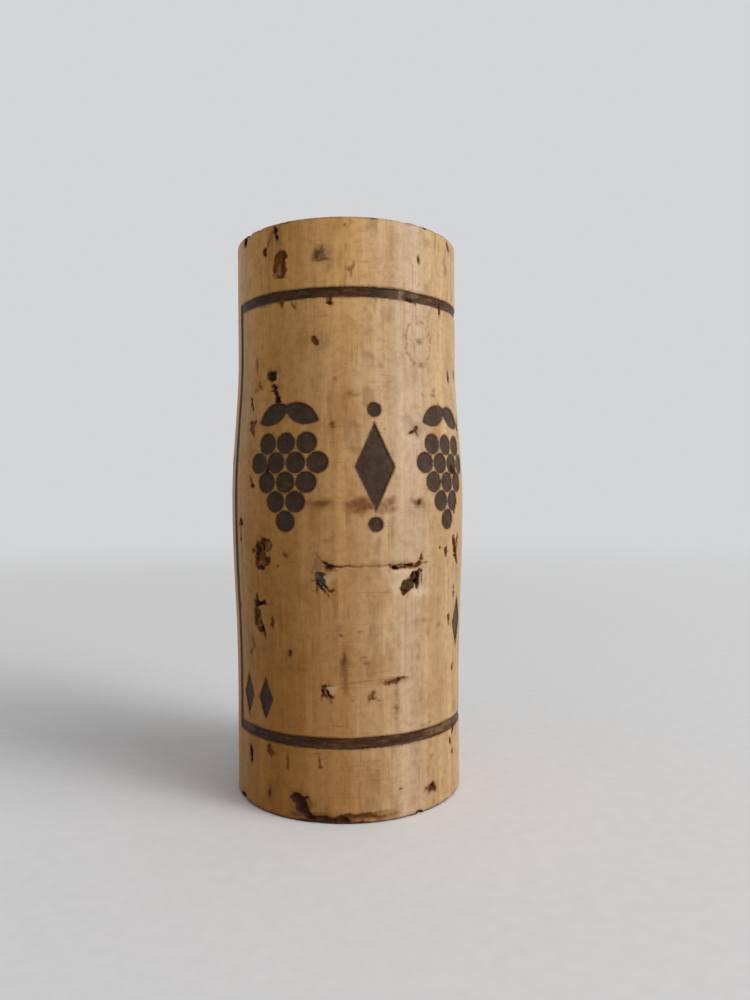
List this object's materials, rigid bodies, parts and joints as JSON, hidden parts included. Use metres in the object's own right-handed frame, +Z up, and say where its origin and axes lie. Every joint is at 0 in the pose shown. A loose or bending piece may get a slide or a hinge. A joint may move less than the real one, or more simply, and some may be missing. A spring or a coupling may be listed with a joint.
{
  "type": "wine cork",
  "caption": "Natural cork stopper for a wine bottle, drawn and standing on end, with straight ends, a swollen middle, open pores and a burnt-in frame with plain ornaments.",
  "frame": {"origin": "centre of the lower end face, which stands on the table", "axes": "+Z up along the cork's own axis to the upper end; -Y towards the side with the first ornaments; +X to the right of that side"},
  "size_m": [0.0236, 0.0236, 0.054],
  "materials": {
    "cork": "turned natural cork, satin, with dark open pores and dark brown burnt-in lines"
  },
  "bodies": {
    "root": {"cork": "cork"}
  },
  "joints": []
}
